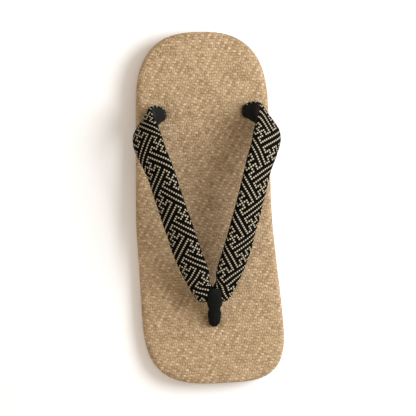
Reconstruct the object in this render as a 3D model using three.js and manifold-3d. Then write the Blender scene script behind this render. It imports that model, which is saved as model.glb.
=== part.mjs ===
// A men's setta: a zori sandal with a cloth-covered footbed, a leather outsole and a V of padded straps.
// This is the right shoe. Millimetres, +Z up. The toe points to -Y, the wearer's big toe side is +X, and
// the origin is on the floor under the middle of the shoe.

import * as THREE from 'three';
import { mergeVertices } from 'three/addons/utils/BufferGeometryUtils.js';
import Module from 'manifold-3d';

const wasm = await Module();
wasm.setup();

// ---- Sole sizes ------------------------------------------------------------------------------------------

const LENGTH = 266;
const PIECE_GAP = 0.3;
const LEATHER_THICK = 3;
const BOARD_THICK_AT_TOE = 8.5;
const BOARD_THICK_AT_HEEL = 10.5;
const LIFT_THICK = 5;

// How far each side of the last lies from the middle of the shoe. Rounding the ends starts from the spine,
// so the toe comes out fullest on the big toe side.
const OUTLINE = [
  { fromToe: 0, bigToe: 54.4, littleToe: 52.8, spine: 8.0 },
  { fromToe: 30, bigToe: 54.4, littleToe: 53.0, spine: 4.4 },
  { fromToe: 60, bigToe: 53.0, littleToe: 53.4, spine: 1.2 },
  { fromToe: 90, bigToe: 50.8, littleToe: 53.8, spine: -1.6 },
  { fromToe: 120, bigToe: 48.9, littleToe: 54.6, spine: -2.8 },
  { fromToe: 150, bigToe: 48.6, littleToe: 53.6, spine: -2.6 },
  { fromToe: 190, bigToe: 49.2, littleToe: 51.9, spine: -1.4 },
  { fromToe: 230, bigToe: 48.8, littleToe: 50.4, spine: -1.8 },
  { fromToe: 266, bigToe: 49.0, littleToe: 50.2, spine: -3.0 },
];
const TOE_ROUND = {
  bigToe: { depth: 47, power: 3.4 },
  littleToe: { depth: 61, power: 3.3 },
};
const HEEL_ROUND = {
  bigToe: { depth: 57, power: 2.6 },
  littleToe: { depth: 55, power: 2.6 },
};
const OUTLINE_STEPS = 84;

// Side view: the toe springs up, the ball rests flat on the floor, and the arch climbs to the heel lift.
const TOE_SPRING = 5;
const BALL_FLAT = { fromToe: 34, toToe: 92 };
const HEEL_SEAT_FROM_HEEL = 44;

const BOARD_EDGE = { round: 4, roundSteps: 4, tuck: 1.4, sideBulge: 0.1 };
const LEATHER_EDGE = { inset: 0.8, broken: 0.6 };

// Where the inner loops of a sole face lie, as shares of the way in from its edge to its middle line.
const TOP_SHARES = [0.12, 0.45, 0.8];
const UNDER_SHARES = [0.2, 0.6];
const INNER_LOOP_INSET = 1;
const MIDDLE_SHARE_OF_LENGTH = 0.66;

// ---- Heel lift and nails ---------------------------------------------------------------------------------

const LIFT = {
  halfWidth: 35,
  length: 35,
  fromHeel: 3.8,
  depth: 32,
  power: 2.7,
  backSteps: 22,
  hollow: 2.6,
  corner: 4.5,
  edgeRound: 0.7,
};
const NAIL_HEAD = { radius: 1.5, thick: 0.9, sunk: 0.6 };
const NAIL_RECESS = { radius: 1.8, depth: 1.8 };
const NAILS = [
  { across: -7.9, fromHeel: 9.8 },
  { across: 7.9, fromHeel: 9.8 },
  { across: 0, fromHeel: 27.6 },
  { across: -25.5, fromHeel: 28.6 },
  { across: 25.5, fromHeel: 28.6 },
];

// ---- Strap sizes -----------------------------------------------------------------------------------------

const REAR_HOLE = { across: 31.6, y: 72, radius: 4.1 };
const FRONT_HOLE = { across: 1.0, y: -86.6, radius: 4.1 };

// One arm of the V, from its rear hole to the point of the V. out is from the middle of the shoe, up from
// the footbed, and lean turns the strap's face from up (0) to outwards (90); back turns it to the heel.
const ARM = [
  { out: 31.6, y: 72.0, up: -5.0, width: 7.4, thick: 5.4, lean: 90, back: 0 },
  { out: 31.9, y: 72.0, up: 0.8, width: 9.0, thick: 6.4, lean: 100, back: 0 },
  { out: 35.4, y: 71.5, up: 6.6, width: 13.8, thick: 7.2, lean: 122, back: 4 },
  { out: 40.4, y: 68.6, up: 12.8, width: 18.6, thick: 7.6, lean: 104, back: 14 },
  { out: 44.6, y: 62.6, up: 19.0, width: 22.6, thick: 7.8, lean: 60, back: 22 },
  { out: 44.6, y: 53.4, up: 24.6, width: 24.0, thick: 7.8, lean: 36, back: 18 },
  { out: 41.4, y: 42.6, up: 29.0, width: 23.4, thick: 7.8, lean: 32, back: 10 },
  { out: 36.0, y: 28.0, up: 32.0, width: 22.4, thick: 7.8, lean: 30, back: 3 },
  { out: 30.6, y: 9.0, up: 32.8, width: 22.0, thick: 7.8, lean: 27, back: 0 },
  { out: 24.6, y: -11.0, up: 31.0, width: 22.0, thick: 7.8, lean: 24, back: -4 },
  { out: 18.6, y: -31.0, up: 26.8, width: 21.8, thick: 7.8, lean: 20, back: -8 },
  { out: 12.2, y: -49.0, up: 21.6, width: 19.8, thick: 7.8, lean: 14, back: -12 },
  { out: 9.9, y: -57.0, up: 18.8, width: 16.2, thick: 8.2, lean: 8, back: -16 },
  { out: 7.2, y: -62.0, up: 17.2, width: 15.6, thick: 8.4, lean: 3, back: -20 },
  { out: 5.8, y: -65.8, up: 16.0, width: 13.6, thick: 8.0, lean: 0, back: -20 },
  { out: 4.8, y: -68.6, up: 15.0, width: 8.0, thick: 5.0, lean: 0, back: -20 },
];
const ARM_SUBSTEPS = 3;
const ARM_SIDES = 20;
const ARM_SECTION_POWER = 2.5;
const FACE_SHARE = 0.58;

// The thong wraps the point of the V and runs forward and down into the front hole.
const THONG = [
  { y: -59.8, up: 17.2, wide: 10.4, tall: 13.2 },
  { y: -62.2, up: 17.2, wide: 11.8, tall: 15.2 },
  { y: -66.4, up: 16.2, wide: 12.2, tall: 15.4 },
  { y: -70.6, up: 13.8, wide: 11.6, tall: 13.2 },
  { y: -73.8, up: 11.0, wide: 9.8, tall: 10.2 },
  { y: -76.4, up: 8.8, wide: 8.4, tall: 8.4 },
  { y: -79.8, up: 6.6, wide: 9.8, tall: 9.2 },
  { y: -83.4, up: 4.2, wide: 9.0, tall: 8.4 },
  { y: -86.3, up: 0.2, wide: 7.4, tall: 7.2 },
  { y: -86.6, up: -6.0, wide: 6.4, tall: 6.4 },
];
const THONG_SUBSTEPS = 2;
const THONG_SIDES = 18;
const THONG_SECTION_POWER = 2.2;

// ---- Tables and small helpers ----------------------------------------------------------------------------

// Smooth value of one column of a table at a place along its key column.
function along(rows, key, at, column) {
  let next = rows.findIndex((row) => row[key] >= at);
  if (next < 1) next = next === 0 ? 1 : rows.length - 1;
  const slope = (i) => {
    const a = rows[Math.max(i - 1, 0)];
    const b = rows[Math.min(i + 1, rows.length - 1)];
    return (b[column] - a[column]) / (b[key] - a[key]);
  };
  const from = rows[next - 1];
  const to = rows[next];
  const span = to[key] - from[key];
  const s = THREE.MathUtils.clamp((at - from[key]) / span, 0, 1);
  const s2 = s * s;
  const s3 = s2 * s;
  return (2 * s3 - 3 * s2 + 1) * from[column] + (s3 - 2 * s2 + s) * span * slope(next - 1)
    + (3 * s2 - 2 * s3) * to[column] + (s3 - s2) * span * slope(next);
}

// Rises from 0 to 1 with level ends.
function ease(value, from, to) {
  return THREE.MathUtils.smoothstep(value, from, to);
}

// How full the sole is at a distance from one end: 0 at the tip and 1 past the rounding.
function roundEnd(distance, { depth, power }) {
  if (distance >= depth) return 1;
  return Math.pow(1 - Math.pow(1 - distance / depth, power), 1 / power);
}

function closedGeometry(positions, triangles) {
  const geometry = new THREE.BufferGeometry();
  geometry.setAttribute('position', new THREE.Float32BufferAttribute(positions, 3));
  geometry.setIndex(triangles);
  return geometry;
}

// Skin over a stack of closed loops with equally many points. Each end is closed by ladder, which joins
// the points at equal distances from the loop's first one, or by fan from a middle point.
function skin(loops, ends) {
  const count = loops[0].length;
  const positions = [];
  const triangles = [];
  for (const loop of loops) {
    for (const point of loop) positions.push(point.x, point.y, point.z);
  }
  for (let ring = 0; ring < loops.length - 1; ring++) {
    for (let i = 0; i < count; i++) {
      const a = ring * count + i;
      const b = ring * count + (i + 1) % count;
      triangles.push(a, b, b + count, a, b + count, a + count);
    }
  }
  const close = (ring, flip) => {
    const start = ring * count;
    const add = (a, b, c) => (flip ? triangles.push(a, c, b) : triangles.push(a, b, c));
    if (ends === 'fan') {
      const middle = new THREE.Vector3();
      for (const point of loops[ring]) middle.addScaledVector(point, 1 / count);
      positions.push(middle.x, middle.y, middle.z);
      const centre = positions.length / 3 - 1;
      for (let i = 0; i < count; i++) add(centre, start + i, start + (i + 1) % count);
      return;
    }
    for (let i = 0; i < count / 2; i++) {
      const left = start + i;
      const leftNext = start + i + 1;
      const right = start + (count - i) % count;
      const rightNext = start + count - i - 1;
      if (i > 0) add(left, leftNext, right);
      if (i < count / 2 - 1) add(leftNext, rightNext, right);
    }
  };
  close(0, true);
  close(loops.length - 1, false);
  return closedGeometry(positions, triangles);
}

function solidOf(geometry) {
  const bare = geometry.clone();
  bare.deleteAttribute('normal');
  bare.deleteAttribute('uv');
  const merged = mergeVertices(bare, 1e-4);
  return new wasm.Manifold(new wasm.Mesh({
    numProp: 3,
    vertProperties: new Float32Array(merged.attributes.position.array),
    triVerts: new Uint32Array(merged.index.array),
  }));
}

function geometryOf(solid) {
  const mesh = solid.getMesh();
  return closedGeometry(Array.from(mesh.vertProperties), Array.from(mesh.triVerts));
}

// ---- Form of the sole ------------------------------------------------------------------------------------

function spine(y) {
  return along(OUTLINE, 'fromToe', y + LENGTH / 2, 'spine');
}

// How far the bigToe or littleToe edge of the sole lies to its own side of the spine.
function reach(y, side) {
  const fromToe = y + LENGTH / 2;
  const edge = along(OUTLINE, 'fromToe', fromToe, side);
  const full = side === 'bigToe' ? edge - spine(y) : edge + spine(y);
  return full * roundEnd(fromToe, TOE_ROUND[side]) * roundEnd(LENGTH - fromToe, HEEL_ROUND[side]);
}

// Height of the leather's underside over the floor.
function clearance(y) {
  const fromToe = y + LENGTH / 2;
  const spring = Math.max(0, BALL_FLAT.fromToe - fromToe) / BALL_FLAT.fromToe;
  const heelSeat = LENGTH - HEEL_SEAT_FROM_HEEL;
  const climb = ease(fromToe, BALL_FLAT.toToe, heelSeat) * (LIFT_THICK + PIECE_GAP);
  return TOE_SPRING * spring * spring + climb;
}

function boardBottom(y) {
  return clearance(y) + LEATHER_THICK + PIECE_GAP;
}

function footbedTop(y) {
  const share = (y + LENGTH / 2) / LENGTH;
  return boardBottom(y) + THREE.MathUtils.lerp(BOARD_THICK_AT_TOE, BOARD_THICK_AT_HEEL, share);
}

// Points round the sole's outline from the toe, and the way in from the edge at each of them.
const outline = [];
for (let i = 0; i < OUTLINE_STEPS; i++) {
  const turn = (2 * Math.PI * i) / OUTLINE_STEPS;
  const y = (-LENGTH / 2) * Math.cos(turn);
  const out = i < OUTLINE_STEPS / 2 ? reach(y, 'bigToe') : -reach(y, 'littleToe');
  const atEnd = i === 0 || i === OUTLINE_STEPS / 2;
  outline.push(new THREE.Vector3(spine(y) + (atEnd ? 0 : out), y, 0));
}
const inward = outline.map((point, i) => {
  const before = outline[(i + OUTLINE_STEPS - 1) % OUTLINE_STEPS];
  const after = outline[(i + 1) % OUTLINE_STEPS];
  return new THREE.Vector3(before.y - after.y, after.x - before.x, 0).normalize();
});

// A loop at a height, stepped in from the outline, and then a share of the way to the middle line.
function soleLoop(height, inset, share = 0) {
  return outline.map((point, i) => {
    const edge = point.clone().addScaledVector(inward[i], inset);
    const middleY = point.y * MIDDLE_SHARE_OF_LENGTH;
    const middle = new THREE.Vector3(spine(middleY), middleY, 0);
    const placed = edge.lerp(middle, share);
    placed.z = height(placed.y);
    return placed;
  });
}

// ---- Footbed, outsole, heel lift and nails ---------------------------------------------------------------

// A straight hole drilled up through the board.
function drill(hole, across) {
  const height = 40;
  const bit = new THREE.CylinderGeometry(hole.radius, hole.radius, height, 20);
  bit.rotateX(Math.PI / 2);
  bit.translate(across, hole.y, height / 2);
  return solidOf(bit);
}

// Loops over a face of the sole, from its middle out to near its edge.
function faceLoops(height, inset, shares) {
  return [...shares].reverse().map((share) => soleLoop(height, inset + INNER_LOOP_INSET, share));
}

function buildFootbed() {
  const loops = faceLoops(boardBottom, BOARD_EDGE.tuck, UNDER_SHARES);
  loops.push(soleLoop(boardBottom, BOARD_EDGE.tuck));
  loops.push(soleLoop((y) => boardBottom(y) + BOARD_EDGE.tuck, BOARD_EDGE.sideBulge));
  for (let i = 0; i <= BOARD_EDGE.roundSteps; i++) {
    const turn = (Math.PI / 2) * (i / BOARD_EDGE.roundSteps);
    const drop = BOARD_EDGE.round * (1 - Math.sin(turn));
    const inset = BOARD_EDGE.round * (1 - Math.cos(turn));
    loops.push(soleLoop((y) => footbedTop(y) - drop, inset));
  }
  loops.push(...faceLoops(footbedTop, BOARD_EDGE.round, TOP_SHARES).reverse());
  return solidOf(skin(loops, 'ladder'))
    .subtract(drill(REAR_HOLE, REAR_HOLE.across))
    .subtract(drill(REAR_HOLE, -REAR_HOLE.across))
    .subtract(drill(FRONT_HOLE, FRONT_HOLE.across))
    .subtract(strapSolid(PIECE_GAP))
    .subtract(thongSolid(PIECE_GAP));
}

function buildOutsole() {
  const top = (y) => clearance(y) + LEATHER_THICK;
  const { inset, broken } = LEATHER_EDGE;
  return skin([
    ...faceLoops(clearance, inset + broken, UNDER_SHARES),
    soleLoop(clearance, inset + broken),
    soleLoop((y) => clearance(y) + broken, inset),
    soleLoop(top, inset),
    ...faceLoops(top, inset, UNDER_SHARES).reverse(),
  ], 'ladder');
}

// A half-moon: a slightly hollow front edge, two small front corners, and a full round back.
function liftOutline() {
  const back = LENGTH / 2 - LIFT.fromHeel;
  const front = back - LIFT.length;
  const side = LIFT.halfWidth;
  const cornerX = side - LIFT.corner;
  const cornerY = front + LIFT.hollow * (1 - (cornerX / side) ** 2);
  const shape = new THREE.Shape();
  shape.moveTo(-cornerX, cornerY);
  shape.quadraticCurveTo(0, front + 2 * LIFT.hollow, cornerX, cornerY);
  shape.quadraticCurveTo(side, front, side, front + LIFT.corner);
  for (let i = 1; i < LIFT.backSteps; i++) {
    const turn = Math.PI * (i / LIFT.backSteps);
    const x = side * Math.sign(Math.cos(turn)) * Math.abs(Math.cos(turn)) ** (2 / LIFT.power);
    const y = back - LIFT.depth * (1 - Math.sin(turn) ** (2 / LIFT.power));
    if (y > front + LIFT.corner + 1) shape.lineTo(x, y);
  }
  shape.lineTo(-side, front + LIFT.corner);
  shape.quadraticCurveTo(-side, front, -cornerX, cornerY);
  return shape;
}

function buildLift() {
  const pad = new THREE.ExtrudeGeometry(liftOutline(), {
    depth: LIFT_THICK - 2 * LIFT.edgeRound,
    bevelEnabled: true,
    bevelThickness: LIFT.edgeRound,
    bevelSize: LIFT.edgeRound,
    bevelOffset: -LIFT.edgeRound,
    bevelSegments: 2,
    curveSegments: 6,
  });
  pad.translate(0, 0, LIFT.edgeRound);
  let lift = solidOf(pad);
  for (const nail of NAILS) {
    const { radius, depth } = NAIL_RECESS;
    const recess = new THREE.CylinderGeometry(radius, radius, 2 * depth, 14);
    recess.rotateX(Math.PI / 2);
    recess.translate(nail.across, LENGTH / 2 - nail.fromHeel, 0);
    lift = lift.subtract(solidOf(recess));
  }
  return geometryOf(lift);
}

// A domed nail head, looking down out of its recess.
function buildNail() {
  const profile = [new THREE.Vector2(0, NAIL_HEAD.thick)];
  profile.push(new THREE.Vector2(NAIL_HEAD.radius, NAIL_HEAD.thick));
  const domeSteps = 3;
  for (let i = 0; i <= domeSteps; i++) {
    const turn = (Math.PI / 2) * (i / domeSteps);
    const radius = i === domeSteps ? 0 : NAIL_HEAD.radius * Math.cos(turn);
    profile.push(new THREE.Vector2(radius, NAIL_HEAD.thick * 0.5 * (1 - Math.sin(turn))));
  }
  const head = new THREE.LatheGeometry(profile.reverse(), 12);
  head.rotateX(Math.PI / 2);
  return head;
}

// ---- Straps ----------------------------------------------------------------------------------------------

function degrees(angle) {
  return THREE.MathUtils.degToRad(angle);
}

// A flattened round section with a fuller face and a flatter lining.
function strapSection(place, across, face, width, thick) {
  const ring = [];
  for (let i = 0; i < ARM_SIDES; i++) {
    const turn = (2 * Math.PI * i) / ARM_SIDES;
    const c = Math.cos(turn);
    const s = Math.sin(turn);
    const sideways = (width / 2) * Math.sign(c) * Math.abs(c) ** (2 / ARM_SECTION_POWER);
    const share = s > 0 ? FACE_SHARE : 1 - FACE_SHARE;
    const outward = thick * share * Math.sign(s) * Math.abs(s) ** (2 / ARM_SECTION_POWER);
    ring.push(place.clone().addScaledVector(across, sideways).addScaledVector(face, outward));
  }
  return ring;
}

function buildArm(side, swell) {
  const rows = ARM.map((row, i) => ({ ...row, i }));
  const points = ARM.map((row) => new THREE.Vector3(row.out, row.y, footbedTop(row.y) + row.up));
  const path = new THREE.CatmullRomCurve3(points, false, 'centripetal');
  const steps = (ARM.length - 1) * ARM_SUBSTEPS;
  const loops = [];
  for (let i = 0; i <= steps; i++) {
    const at = (i / steps) * (ARM.length - 1);
    const place = path.getPoint(i / steps);
    const tangent = path.getTangent(i / steps);
    if (i === 0) place.addScaledVector(tangent, -swell);
    if (i === steps) place.addScaledVector(tangent, swell);
    const lean = degrees(along(rows, 'i', at, 'lean'));
    const back = degrees(along(rows, 'i', at, 'back'));
    const face = new THREE.Vector3(Math.sin(lean), Math.tan(back), Math.cos(lean)).normalize();
    face.addScaledVector(tangent, -face.dot(tangent)).normalize();
    const across = new THREE.Vector3().crossVectors(face, tangent);
    const width = along(rows, 'i', at, 'width') + 2 * swell;
    const thick = along(rows, 'i', at, 'thick') + 2 * swell;
    loops.push(strapSection(place, across, face, width, thick));
  }
  if (side < 0) {
    for (const loop of loops) {
      for (const point of loop) point.x *= -1;
      loop.reverse();
    }
  }
  return solidOf(skin(loops, 'fan'));
}

function strapSolid(swell) {
  return buildArm(1, swell).add(buildArm(-1, swell));
}

function thongSolid(swell) {
  const rows = THONG.map((row, i) => ({ ...row, i }));
  const points = THONG.map((row) => new THREE.Vector3(FRONT_HOLE.across, row.y, footbedTop(row.y) + row.up));
  const path = new THREE.CatmullRomCurve3(points, false, 'centripetal');
  const steps = (THONG.length - 1) * THONG_SUBSTEPS;
  const across = new THREE.Vector3(1, 0, 0);
  const loops = [];
  for (let i = 0; i <= steps; i++) {
    const at = (i / steps) * (THONG.length - 1);
    const place = path.getPoint(i / steps);
    const tangent = path.getTangent(i / steps);
    if (i === 0) place.addScaledVector(tangent, -swell);
    if (i === steps) place.addScaledVector(tangent, swell);
    const face = new THREE.Vector3().crossVectors(tangent, across).normalize();
    const wide = along(rows, 'i', at, 'wide') + 2 * swell;
    const tall = along(rows, 'i', at, 'tall') + 2 * swell;
    const ring = [];
    for (let k = 0; k < THONG_SIDES; k++) {
      const turn = (2 * Math.PI * k) / THONG_SIDES;
      const c = Math.cos(turn);
      const s = Math.sin(turn);
      const sideways = (wide / 2) * Math.sign(c) * Math.abs(c) ** (2 / THONG_SECTION_POWER);
      const upward = (tall / 2) * Math.sign(s) * Math.abs(s) ** (2 / THONG_SECTION_POWER);
      ring.push(place.clone().addScaledVector(across, sideways).addScaledVector(face, upward));
    }
    loops.push(ring);
  }
  return solidOf(skin(loops, 'fan'));
}

// ---- Assembly --------------------------------------------------------------------------------------------

const sandal = new THREE.Group();

function addPiece(name, geometry, material) {
  const mesh = new THREE.Mesh(geometry, new THREE.MeshStandardMaterial(material));
  mesh.name = name;
  sandal.add(mesh);
  return mesh;
}

addPiece('footbed', geometryOf(buildFootbed()), { color: 0xae916c, roughness: 0.9 });
addPiece('outsole', buildOutsole(), { color: 0x8f4f2b, roughness: 0.5 });
addPiece('heel_lift', buildLift(), { color: 0xbd975c, roughness: 0.6 });
NAILS.forEach((nail, i) => {
  const brass = { color: 0xb8a878, roughness: 0.35, metalness: 1 };
  const mesh = addPiece(`heel_nail_${i + 1}`, buildNail(), brass);
  mesh.position.set(nail.across, LENGTH / 2 - nail.fromHeel, NAIL_HEAD.sunk);
});
addPiece('hanao', geometryOf(strapSolid(0)), { color: 0x1c1b1a, roughness: 0.85 });
const thong = thongSolid(0).subtract(strapSolid(PIECE_GAP));
addPiece('maetsubo', geometryOf(thong), { color: 0x1a1a18, roughness: 0.95 });

export default sandal;
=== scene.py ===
"""A right-foot setta, a flat zori sandal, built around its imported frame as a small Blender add-on.

The sole is a board wrapped in coarse cloth, on a leather outsole with a moulded heel lift and five nails.
The hanao is a V of two padded arms: key-fret cloth on the face, black velvet underneath. A black thong,
the maetsubo, wraps the point of the V and goes down into the front hole.
Lengths in the tables are millimetres. The toe points to -Y and the wearer's big toe side is +X.
"""

import bisect
import math
from collections import namedtuple

import bmesh
import bpy
from bpy.props import FloatProperty, FloatVectorProperty, IntProperty, PointerProperty
from mathutils import Matrix, Vector, noise


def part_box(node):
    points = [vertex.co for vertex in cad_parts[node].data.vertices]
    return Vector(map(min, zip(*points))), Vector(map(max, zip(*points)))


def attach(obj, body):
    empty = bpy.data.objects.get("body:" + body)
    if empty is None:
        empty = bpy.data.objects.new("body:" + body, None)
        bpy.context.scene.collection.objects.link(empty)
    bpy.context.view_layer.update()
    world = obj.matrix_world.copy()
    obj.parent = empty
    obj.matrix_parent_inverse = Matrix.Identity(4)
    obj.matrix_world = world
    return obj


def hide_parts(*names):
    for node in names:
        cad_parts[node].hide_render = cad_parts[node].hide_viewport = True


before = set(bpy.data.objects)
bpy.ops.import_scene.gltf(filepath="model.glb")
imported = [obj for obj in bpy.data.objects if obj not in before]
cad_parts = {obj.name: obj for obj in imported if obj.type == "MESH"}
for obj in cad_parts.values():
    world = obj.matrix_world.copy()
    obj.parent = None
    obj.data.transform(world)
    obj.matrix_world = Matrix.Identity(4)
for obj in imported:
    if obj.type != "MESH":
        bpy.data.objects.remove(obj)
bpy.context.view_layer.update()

bl_info = {
    "name": "Zori Sandal",
    "version": (1, 0, 0),
    "blender": (4, 5, 0),
    "location": "3D View > Sidebar > Zori",
    "description": "Builds a right-foot setta zori sandal around its packed frame",
    "category": "Object",
}

MM = 0.001

# ---- Sole sizes --------------------------------------------------------------------------------------------

OutlineRow = namedtuple("OutlineRow", "from_toe big_toe little_toe spine")
EndRound = namedtuple("EndRound", "depth power")
EdgeStep = namedtuple("EdgeStep", "inset height")
Hole = namedtuple("Hole", "x y")

BOARD_LOW, BOARD_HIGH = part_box("footbed")
LENGTH = round((BOARD_HIGH.y - BOARD_LOW.y) / MM)
LIFT_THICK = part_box("heel_lift")[1].z / MM
PIECE_GAP = 0.3
LEATHER_THICK = 3.0
BOARD_THICK_AT_TOE = 8.5
BOARD_THICK_AT_HEEL = 10.5

# How far each side of the last lies from the middle of the shoe. Rounding the ends starts from the spine,
# so the toe comes out fullest on the big toe side.
OUTLINE = [
    OutlineRow(0, 54.4, 52.8, 8.0),
    OutlineRow(30, 54.4, 53.0, 4.4),
    OutlineRow(60, 53.0, 53.4, 1.2),
    OutlineRow(90, 50.8, 53.8, -1.6),
    OutlineRow(120, 48.9, 54.6, -2.8),
    OutlineRow(150, 48.6, 53.6, -2.6),
    OutlineRow(190, 49.2, 51.9, -1.4),
    OutlineRow(230, 48.8, 50.4, -1.8),
    OutlineRow(266, 49.0, 50.2, -3.0),
]
TOE_ROUND = {"big_toe": EndRound(47.0, 3.4), "little_toe": EndRound(61.0, 3.3)}
HEEL_ROUND = {"big_toe": EndRound(57.0, 2.6), "little_toe": EndRound(55.0, 2.6)}
OUTLINE_POINTS = 220

TOE_SPRING = 5.0
BALL_FRONT, BALL_BACK = 34.0, 92.0
HEEL_SEAT_LENGTH = 44.0

LEATHER_INSET = 0.8
NAIL_PLACES = [(-7.9, 9.8), (7.9, 9.8), (0.0, 27.6), (-25.5, 28.6), (25.5, 28.6)]
NAIL_RADIUS = 1.5
NAIL_SUNK = 0.6

# ---- Strap sizes -------------------------------------------------------------------------------------------

ArmRow = namedtuple("ArmRow", "out y up width thick lean back")
ThongRow = namedtuple("ThongRow", "y up wide tall")

REAR_HOLES = [Hole(31.6, 72.0), Hole(-31.6, 72.0)]
FRONT_HOLE = Hole(1.0, -86.6)

# One arm, from its rear hole to the point of the V. lean turns the face from up (0) to outwards (90).
ARM = [
    ArmRow(31.6, 72.0, -5.0, 7.4, 5.4, 90, 0),
    ArmRow(31.9, 72.0, 0.8, 9.0, 6.4, 100, 0),
    ArmRow(35.4, 71.5, 6.6, 13.8, 7.2, 122, 4),
    ArmRow(40.4, 68.6, 12.8, 18.6, 7.6, 104, 14),
    ArmRow(44.6, 62.6, 19.0, 22.6, 7.8, 60, 22),
    ArmRow(44.6, 53.4, 24.6, 24.0, 7.8, 36, 18),
    ArmRow(41.4, 42.6, 29.0, 23.4, 7.8, 32, 10),
    ArmRow(36.0, 28.0, 32.0, 22.4, 7.8, 30, 3),
    ArmRow(30.6, 9.0, 32.8, 22.0, 7.8, 27, 0),
    ArmRow(24.6, -11.0, 31.0, 22.0, 7.8, 24, -4),
    ArmRow(18.6, -31.0, 26.8, 21.8, 7.8, 20, -8),
    ArmRow(12.2, -49.0, 21.6, 19.8, 7.8, 14, -12),
    ArmRow(9.9, -57.0, 18.8, 16.2, 8.2, 8, -16),
    ArmRow(7.2, -62.0, 17.2, 15.6, 8.4, 3, -20),
    ArmRow(5.8, -65.8, 16.0, 13.6, 8.0, 0, -20),
    ArmRow(4.8, -68.6, 15.0, 8.0, 5.0, 0, -20),
]
ARM_STEP = 1.2
ARM_SIDES = 132
ARM_SECTION_POWER = 2.4
FACE_SHARE = 0.58

# The thong, from over the point of the V to its hole.
THONG = [
    ThongRow(-59.8, 17.2, 10.4, 13.2),
    ThongRow(-62.2, 17.2, 11.8, 15.2),
    ThongRow(-66.4, 16.2, 12.2, 15.4),
    ThongRow(-70.6, 13.8, 11.6, 13.2),
    ThongRow(-73.8, 11.0, 9.8, 10.2),
    ThongRow(-76.4, 8.8, 8.4, 8.4),
    ThongRow(-79.8, 6.6, 9.8, 9.2),
    ThongRow(-83.4, 4.2, 9.0, 8.4),
    ThongRow(-86.3, 0.2, 7.4, 7.2),
    ThongRow(-86.6, -6.0, 6.4, 6.4),
]
THONG_WAIST_ROW = 5
THONG_STEP = 0.6
THONG_SIDES = 64
THONG_SECTION_POWER = 2.2

# The velvet covers an arm's underside from its inner seam to just past its outer one. Near the rear hole
# the figured cloth turns in, and the velvet starts further under.
LINING_STEPS = 60
LINING_START = 168
LINING_END = 366
LINING_TURNED_IN = 60
LINING_SUNK = -0.4
LINING_THICK = 0.25

KEY_SIZE = 0.5
KEY_COLOUR = (0.93, 1.0, 1.08)
SKY_COLOUR = (1.0, 0.9, 0.79)


# ---- Settings ----------------------------------------------------------------------------------------------


def length_setting(name, description, millimetres):
    return FloatProperty(name=name, description=description, default=millimetres * MM, unit="LENGTH")


def place_setting(name, description, place):
    return FloatVectorProperty(name=name, description=description, default=place, subtype="TRANSLATION")


def angle_setting(name, description, degrees):
    return FloatProperty(name=name, description=description, default=math.radians(degrees), subtype="ANGLE")


def colour_setting(name, description, colour):
    return FloatVectorProperty(
        name=name, description=description, default=colour, subtype="COLOR", min=0.0, max=1.0
    )


class SoleSettings(bpy.types.PropertyGroup):
    """Sizes and colours of the footbed, the outsole, the heel lift and the nails."""

    crown: length_setting("Rise", "How far the padded top rises in its middle", 0.5)
    edge_round: length_setting("Edge rounding", "Radius of the cloth-wrapped top edge", 4.0)
    hole_dip: length_setting("Hole dip", "How far the cloth is drawn down at each strap hole", 2.6)
    warp_pitch: length_setting("Warp pitch", "Distance between the lengthwise yarns of the cloth", 1.3)
    weft_pitch: length_setting("Weft pitch", "Distance between the crosswise yarns of the cloth", 2.15)
    # The cloth's pale and dark colours are the yarns' own colours, and also a painted highlight on the raised
    # yarn tops and painted shade in the hollows between the yarns.
    cloth_pale_and_highlight: colour_setting("Cloth light", "Colour of the raised crosswise yarns", (0.555, 0.4, 0.24))
    cloth_dark_and_shade: colour_setting("Cloth dark", "Colour of the sunk lengthwise yarns", (0.218, 0.134, 0.065))
    # Cloth fleck is a pale slub colour, shown as a painted highlight on the raised yarn tops.
    cloth_fleck_highlight: colour_setting("Cloth fleck", "Colour of the palest slubs", (0.66, 0.54, 0.38))
    leather: colour_setting("Leather", "Colour of the outsole's grain side", (0.29, 0.085, 0.022))
    cut_edge: colour_setting("Cut edge", "Colour of the outsole's raw cut edge", (0.66, 0.44, 0.22))
    rubber: colour_setting("Heel lift", "Colour of the moulded heel lift", (0.5, 0.305, 0.1))
    brass: colour_setting("Nails", "Colour of the nail heads", (0.62, 0.5, 0.26))


class StrapSettings(bpy.types.PropertyGroup):
    """Sizes and colours of the hanao and the maetsubo."""

    stitch_pitch: length_setting("Fret pitch", "Distance between neighbouring yarn floats of the fret", 1.895)
    fret_inset: length_setting("Fret inset", "Distance from the inner seam to the first row of keys", 4.7)
    fret_start_big: length_setting("Fret start, big toe side", "Distance along the arm to a key", 20.1)
    fret_start_little: length_setting("Fret start, little toe side", "Distance along the arm to a key", 0.0)
    pleat_depth: length_setting("Pleat depth", "Depth of the gathers where an arm enters its hole", 1.5)
    pleats: IntProperty(name="Pleats", description="Gathers round an arm's rear end", default=21, min=0)
    lining_proud: length_setting("Lining", "How far the velvet lining stands off the cloth", 0.35)
    ground: colour_setting("Ground", "Colour of the black ground cloth", (0.0014, 0.0014, 0.0013))
    figure: colour_setting("Figure", "Colour of the cream yarn that floats over it", (0.51, 0.43, 0.3))
    velvet: colour_setting("Velvet", "Colour of the lining and the thong", (0.0045, 0.0048, 0.0042))


class StageSettings(bpy.types.PropertyGroup):
    """The camera, the floor and the lights."""

    eye: place_setting("Eye", "Where the camera is", (-0.0763, 0.0194, 1.214))
    aim: place_setting("Aim", "The point that the camera looks at", (0.0, 0.0, 0.014))
    roll: angle_setting("Roll", "Turn of the picture's top away from the heel", 2.55)
    angle: angle_setting("Field of view", "Angle that the picture takes in", 14.9)
    floor: colour_setting("Floor", "Colour of the floor", (0.92, 0.92, 0.92))
    key_place: place_setting("Key light", "Where the large soft light is", (0.47, 0.11, 0.45))
    key_power: FloatProperty(name="Key power", description="Power of that light", default=5.4, unit="POWER")
    sky: FloatProperty(name="Sky", description="Strength of the even light from all round", default=0.8)


# ---- Tables and small helpers ------------------------------------------------------------------------------


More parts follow.
